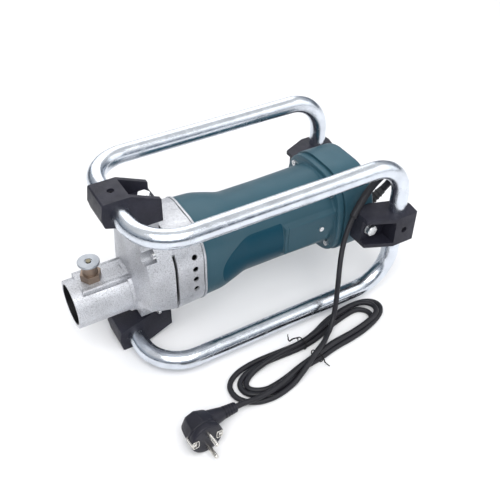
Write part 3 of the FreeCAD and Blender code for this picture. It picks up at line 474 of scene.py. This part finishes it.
def makeGuard():
    # the sleeve follows the cord's own line from the boot to part way down, slightly uneven and
    # drawn in at its end: r = radius (1 - taper e^-((1-t)/share)^2) (1 + ripple sin)
    low = (cord["bootLength"] - cord["start"]) / 1000 + sleeve["gap"]
    end = np.argmin(np.linalg.norm(cordLine - spots([sleeve["end"]])[0], axis=1))
    inside = (cordRun >= low) & (np.arange(len(cordLine)) <= end)
    stations = np.linspace(low, cordRun[inside][-1], sleeve["stations"])
    path = np.column_stack([np.interp(stations, cordRun, cordLine[:, k]) for k in range(3)])
    t = np.linspace(0, 1, sleeve["stations"])
    ends = 1 - sleeve["taper"] * np.exp(-((1 - t) / sleeve["taperShare"]) ** 2)
    ripple = 1 + sleeve["ripple"] * np.sin(t * sleeve["ripples"])
    return meshPiece("cordGuard", pipe(path, sleeve["radius"] * ends * ripple, sleeve["sides"]))


guard = added(makeGuard(), "cord_rubber", "housing", "cord_guard")


# two wire ties: where each stands, how it is turned, its half width, and the way its tail takes
tie = dict(wire=0.00065, sides=8, centre=0.35, high=6.6, square=0.82, skew=1.2, curl=0.55, twist=22,
           rings=[dict(x=173.5, y=-124.6, turn=8.0, half=8.4,
                       tail=[(-2, 6, 5), (-9, 6, 7), (-15, 4.5, 7.5), (-17, 4.5, 10), (-18, 5, 20)]),
                  dict(x=178.0, y=-150.8, turn=20.0, half=9.0,
                       tail=[(2.5, -6, 6.2), (3, -9.5, 3.5), (4, -12, -2.2), (6, -19, -3.2)])])


def makeTies():
    # a wire laid round the bundle as a squarish ring, its two ends twisted into a tail
    parts = []
    a = np.linspace(-0.5 * np.pi, 1.5 * np.pi, 60)
    for ring in tie["rings"]:
        across, high = roundedSquare(ring["half"], tie["high"], 2 / tie["square"], a)
        s, c = math.sin(math.radians(ring["turn"])), math.cos(math.radians(ring["turn"]))
        shift = tie["skew"] * np.cos(a / 2)
        loop = np.column_stack([ring["x"] - across * s + shift, ring["y"] + across * c, tie["centre"] + high])
        parts.append(pipe(spots(loop), tie["wire"], tie["sides"]))
        for side, reach in ((-1, 1.0), (1, 0.9)):
            t = np.linspace(0, reach, 60)
            twist = t * tie["twist"] + side * np.pi / 2
            curl = tie["curl"] * np.column_stack([0 * t, np.cos(twist), np.abs(np.sin(twist))])
            along = alongRow(ring["tail"], t * (len(ring["tail"]) - 1))
            tail = np.array([ring["x"], ring["y"], tie["centre"]]) + along + curl
            parts.append(pipe(spots(tail), tie["wire"], tie["sides"]))
    return meshPiece("tieWires", *parts)


ties = added(makeTies(), "tie_plastic", "housing", "twist_ties")


# moulded mains plug: a round body with eight flats behind its seam, and a ribbed boot
plug = dict(face=(5.5, -197.5, 12.9), out=(0.074, -0.996, 0.051), lead=(0.992, 0.078, -0.095), radius=19.0,
            depth=[0, 0, 0, 0.25, 0.9, 2, 5, 7.4, 7.8, 8.2, 8.6, 11, 14, 17, 20, 23, 26, 28.5, 30.5,
                   31.6, 32, 32, 32],
            size=[0.001, 0.55, 0.90, 0.95, 0.985, 1, 1, 1, 0.972, 0.972, 1, 1, 1, 0.985, 0.96, 0.93,
                  0.89, 0.84, 0.78, 0.72, 0.66, 0.30, 0.001],
            bulge=0.16, bulgeFrom=11, bulgeTo=33.5, flatFrom=9, flatShare=0.9)
boot = dict(neck=22.5, start=8, end=50.0, ribsFrom=31, ribsTo=47, pitch=3.6, rib=2.2, deep=1.6,
            along=[8, 18, 26, 32, 49, 50], radius=[11.5, 10.2, 8.6, 7.4, 6.0, 5.5])


def plugAxes():
    z = unit(np.array(plug["out"]))
    x = np.array(plug["lead"])
    x = unit(x - z * x.dot(z))
    return x, np.cross(z, x), z


def plugPlace(local):
    x, y, z = plugAxes()
    return spots(np.array(plug["face"]) + local[..., :1] * x + local[..., 1:2] * y + local[..., 2:] * z)


def makePlugBody():
    # rings stacked from the face to the back: r = radius size (1 + bulge towards the boot),
    # turned into flats behind the seam by cos(pi/8) / cos(angle from the middle of the flat)
    depth = np.array(plug["depth"])[:, None]
    size = np.array(plug["size"])[:, None]
    angle = np.linspace(0, 2 * np.pi, 96, endpoint=False)
    towards = np.clip(np.cos(angle), 0, 1)[None, :] ** 3
    deep = smooth((depth - plug["bulgeFrom"]) / 8) * smooth((plug["bulgeTo"] - depth) / 6)
    flat = math.cos(np.pi / 8) / np.cos(np.mod(angle, np.pi / 4) - np.pi / 8)
    flats = 1 + (flat[None, :] - 1) * plug["flatShare"] * smooth((depth - plug["flatFrom"]) / 3)
    radius = plug["radius"] * size * (1 + plug["bulge"] * towards * deep) * flats
    back = np.broadcast_to(-depth, radius.shape)
    local = np.stack([radius * np.cos(angle), radius * np.sin(angle), back], -1)
    along = np.linspace(boot["start"], boot["end"], 190)
    axis = np.column_stack([along, 0 * along, 0 * along - boot["neck"]])
    ribs = smooth((along - boot["ribsFrom"]) / 2) * (1 - smooth((along - boot["ribsTo"]) / 1.5))
    cut = (np.mod(along - boot["ribsFrom"], boot["pitch"]) > boot["rib"]) * ribs
    profile = np.interp(along, boot["along"], boot["radius"]) - boot["deep"] * cut
    ribbed = pipe(plugPlace(axis), profile / 1000, 40)
    return meshPiece("plugMoulding", grid(plugPlace(local)[::-1]), ribbed)


# earth clips: a folded strip over each side of the rim, and the moulded frame round it on the face
clip = dict(half=3.0, thick=0.7, frameAt=14.6, frameWide=3.6, frameHigh=4.6, square=5.0, frameOut=0.2,
            frameWire=0.00055,
            run=[(17.0, -12.5), (19.35, -12.0), (19.5, -6), (19.45, -1.2), (18.9, 0.25), (17.5, 0.45),
                 (14.6, 0.45), (13.6, 0.2), (13.4, -0.8)])


def makeEarthClips():
    run = alongRow(clip["run"], np.linspace(0, len(clip["run"]) - 1, 49))
    heading = unit(np.gradient(run, axis=0))
    normal = np.column_stack([heading[:, 1], -heading[:, 0]])
    across = np.array([-1, 1, 1, -1]) * clip["half"]
    thin = np.array([0, 0, -1, -1]) * clip["thick"]
    place = run[:, None] + normal[:, None] * thin[None, :, None]
    across = np.broadcast_to(across, place.shape[:2])
    parts = []
    for side in (-1, 1):
        local = np.stack([side * place[..., 0], side * across, place[..., 1]], -1)
        parts.append(grid(plugPlace(local), capped=True))
    return meshPiece("earthClips", *parts)


def makeClipFrames():
    parts = []
    angle = np.linspace(0, 2 * np.pi, 65)
    x, y = roundedSquare(clip["frameWide"], clip["frameHigh"], clip["square"], angle)
    for side in (-1, 1):
        local = np.column_stack([side * (clip["frameAt"] + x), y, 0 * x + clip["frameOut"]])
        parts.append(pipe(plugPlace(local), clip["frameWire"], 8, capped=False))
    return meshPiece("clipFrames", *parts)


earthClips = added(makeEarthClips(), "pin_nickel", "housing", "plug_earth_clips")
clipFrames = added(makeClipFrames(), "pin_nickel", "housing")
plugBody = added(makePlugBody(), "plug_rubber", "housing", "plug_body")
dress(cordCurve, "cord_rubber")
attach(cordCurve, "housing")
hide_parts("power_cord", "cord_hank", "plug_lead")
print("stage: cord, guard, ties and plug")


# motor housing: sections across the motor axis, each a rounded square that turns into a circle
housing = dict(sides=144, shoulderEnd=146, wallRear=263.4, panelStep=189.6,
               stations=[82, 90, 102, 108, 114, 120, 126, 132, 138, 144, 191, 264],
               wide=[54.4, 54.4, 54.2, 54.0, 53.5, 52.9, 52.3, 51.7, 51.2, 51, 51, 52.6],
               high=[56.4, 56.3, 56.0, 55.7, 55.0, 54.2, 53.3, 52.3, 51.4, 51, 51, 52.2],
               square=[2.95, 2.9, 2.85, 2.8, 2.65, 2.5, 2.35, 2.2, 2.05, 2, 2, 2],
               flangeHalf=58.0, flangeSquare=2.95, flangeX=[264, 264, 264.4, 265.2, 272.4, 272.9, 273],
               flangeGrow=[-4.0, -0.9, -0.25, 0, 0, -0.2, -0.6],
               panelRear=256.0, panelLean=0.25, panelLow=-20.0, panelHigh=20.0, panelHalf=52.5,
               grooveAt=195, groove=0.85, grooveWide=0.45,
               seamAt=84.2, seam=0.35, seamWide=0.5, seamRadius=54,
               inner=[(273, 46.6), (267, 46.6), (266, 11.1), (258, 11.1), (258, 7.5), (254, 7.5),
                      (254, 46.6), (168, 46.6), (82.2, 46.6), (82, 47.0)])


def skinSection(x):
    # half width, half height and squareness at x, eased between the known stations
    soft = np.linspace(-3, 3, 7)
    return [np.mean([np.interp(x + d, housing["stations"], housing[k]) for d in soft], 0)
            for k in ("wide", "high", "square")]


def dent(x, at, wide):
    return np.exp(-((x - at) / wide) ** 2)


def makeHousing():
    h = housing
    angle = np.linspace(0, 2 * np.pi, h["sides"], endpoint=False)
    x = np.concatenate([np.linspace(82, h["shoulderEnd"], 65), np.linspace(147, 189, 22),
                        np.linspace(h["panelStep"], 197, 38), np.linspace(198, h["wallRear"], 66)])
    wide, high, power = (v[:, None] for v in skinSection(x))
    x = x[:, None]
    y, z = roundedSquare(wide, high, power, angle[None, :])
    # side panels: the skin is pushed out to a flat where the panel is, with rounded edges
    here = smooth((x - h["panelStep"]) / 1.6)
    here = here * smooth((h["panelRear"] + h["panelLean"] * (z - h["panelLow"]) - x) / 2.2)
    here = here * smooth((z - h["panelLow"] + 1.2) / 2.0) * smooth((h["panelHigh"] + 1.2 - z) / 2.0)
    flat = np.maximum(h["panelHalf"] - np.abs(y), 0)
    groove = h["groove"] * dent(x, h["grooveAt"], h["grooveWide"]) * here
    y = np.sign(y) * (np.abs(y) + flat * here - groove)
    # shadow line behind the ring
    seam = 1 - h["seam"] * dent(x, h["seamAt"], h["seamWide"]) / h["seamRadius"]
    rows = [(x, y * seam, z * seam)]
    half = h["flangeHalf"] + np.array(h["flangeGrow"])[:, None]
    flange = roundedSquare(half, half, h["flangeSquare"], angle[None, :])
    rows.append((np.array(h["flangeX"])[:, None], *flange))
    # back in through the bore, round the bearing wall and out at the front
    inner = np.array(h["inner"])
    rows.append((inner[:, :1], inner[:, 1:] * np.cos(angle), inner[:, 1:] * np.sin(angle)))
    points = np.concatenate([np.stack(np.broadcast_arrays(*row), -1) for row in rows])
    points[..., 2] += (motorZ - baseZ) * 1000
    return meshPiece("housingSkin", grid(spots(points), closed=True))


added(makeHousing(), "housing_plastic", "housing", "motor_housing")


# label: a thin film on the round side, blunt at the rear and drawn round at the front
label = dict(front=104.0, rear=189.0, low=-34.0, high=25.0, proud=0.18, thick=0.6,
             topRun=46.0, foot=24.0, footRun=14.0, corner=2.5, columns=90, rows=26)


def quarter(run, reach):
    # height of a quarter ellipse, 0 to 1, at a distance back from its end
    return np.sqrt(np.clip(1 - ((run - reach) / run).clip(0) ** 2, 0, 1))


def makeLabels():
    # each row runs from the lower to the upper outline and lies on the housing's own section there:
    # y = wide (1 - |z / high|^p)^(1/p) + proud
    share = 0.5 - 0.5 * np.cos(np.linspace(0.02, np.pi, label["columns"]))
    x = label["front"] + (label["rear"] - label["front"]) * share
    foot = label["low"] + label["foot"]
    end = label["corner"] * (1 - quarter(label["corner"], label["rear"] - x))
    top = foot + (label["high"] - foot) * quarter(label["topRun"], x - label["front"]) - end
    bottom = foot - label["foot"] * quarter(label["footRun"], x - label["front"]) + end
    t = np.linspace(0, 1, label["rows"])
    t = np.concatenate([t, t[::-1]])
    lift = label["proud"] - label["thick"] * np.repeat([0, 1], label["rows"])
    wide, high, power = (v[:, None] for v in skinSection(x))
    z = bottom[:, None] + (top - bottom)[:, None] * t[None, :]
    y = wide * np.clip(1 - np.abs(z / high) ** power, 0, 1) ** (1 / power) + lift[None, :]
    parts = []
    for side in (-1, 1):
        points = np.stack([np.broadcast_to(x[:, None], y.shape), side * y, z + (motorZ - baseZ) * 1000], -1)
        parts.append(grid(spots(points[::-1] if side > 0 else points), capped=True))
    return meshPiece("labelFilms", *parts)


added(makeLabels(), "label_film", "housing", "label_plates")
print("stage: housing and labels")


# cast step along each side of the flat on the nose, where the plunger sits
step = dict(front=-53.5, inner=13.0, outer=18.8, top=29.22, root=26.4, rounding=1.3,
            along=[0, 0.25, 0.8, 1.6, 3, 20, 40, 57.5], drop=[1.3, 0.7, 0.2, 0.03, 0, 0, 0, 0])


def makeNoseSteps():
    # outline across the nose: flat top, a quarter round, an upright side, and back along the root
    # circle; the top drops away at the front end
    turn = np.linspace(0, np.pi / 2, 9)
    edge = np.column_stack([step["outer"] - step["rounding"] * (1 - np.sin(turn)),
                            step["top"] - step["rounding"] * (1 - np.cos(turn))])
    under = np.linspace(step["outer"], step["inner"], 6)
    root = np.column_stack([under, np.sqrt(step["root"] ** 2 - under ** 2)])
    outline = np.concatenate([[(step["inner"], step["top"])], edge, root])
    x = np.array(step["along"])[:, None] + step["front"]
    z = np.minimum(outline[None, :, 1], step["top"] - np.array(step["drop"])[:, None])
    parts = []
    for side in (-1, 1):
        y = side * np.broadcast_to(outline[:, 0], z.shape)
        points = np.stack([np.broadcast_to(x, z.shape), y, z + (noseZ - baseZ) * 1000], -1)
        parts.append(grid(spots(points[::-1] if side > 0 else points), capped=True))
    return meshPiece("noseSteps", *parts)


added(makeNoseSteps(), "cast_aluminium", "housing")


# cast and moulded pieces keep their CAD form and get worn, rounded edges
edges = dict(gear_case=0.9, vent_ring=0.35, front_top_bracket=0.8, front_bottom_bracket=0.8,
             rear_left_bracket=0.8, rear_right_bracket=0.8, bracket_bolts=0.35, bracket_washers=0.25,
             rear_cover=0.5, lock_body=0.35, pull_knob=0.25, lock_pin=0.3, switch_body=0.4,
             switch_rocker=0.5, strain_relief=0.3, side_screws=0.25, rear_cover_screws=0.2,
             gear_case_screws=0.2)


bevel = dict(weld=0.000004, flat=0.5, segments=2, sharp=32)


def refined(name, width):
    source = nodes[name]
    mesh = source.data.copy()
    mesh.name = name + "Worn"
    bm = bmesh.new()
    bm.from_mesh(mesh)
    bmesh.ops.remove_doubles(bm, verts=bm.verts, dist=bevel["weld"])
    bmesh.ops.dissolve_limit(bm, angle_limit=math.radians(bevel["flat"]), verts=bm.verts, edges=bm.edges)
    bm.to_mesh(mesh)
    bm.free()
    if "custom_normal" in mesh.attributes:
        mesh.attributes.remove(mesh.attributes["custom_normal"])
    mesh.polygons.foreach_set("use_smooth", np.ones(len(mesh.polygons), bool))
    obj = placed(name + "Worn", mesh)
    soften = obj.modifiers.new("softEdges", "BEVEL")
    soften.width = width / 1000
    soften.segments = bevel["segments"]
    soften.limit_method = "ANGLE"
    soften.angle_limit = math.radians(bevel["sharp"])
    soften.harden_normals = True
    soften.use_clamp_overlap = True
    return added(obj, slotOf[name], source["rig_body"], name)


for name, width in edges.items():
    refined(name, width)
print("stage: softened", len(edges), "pieces")
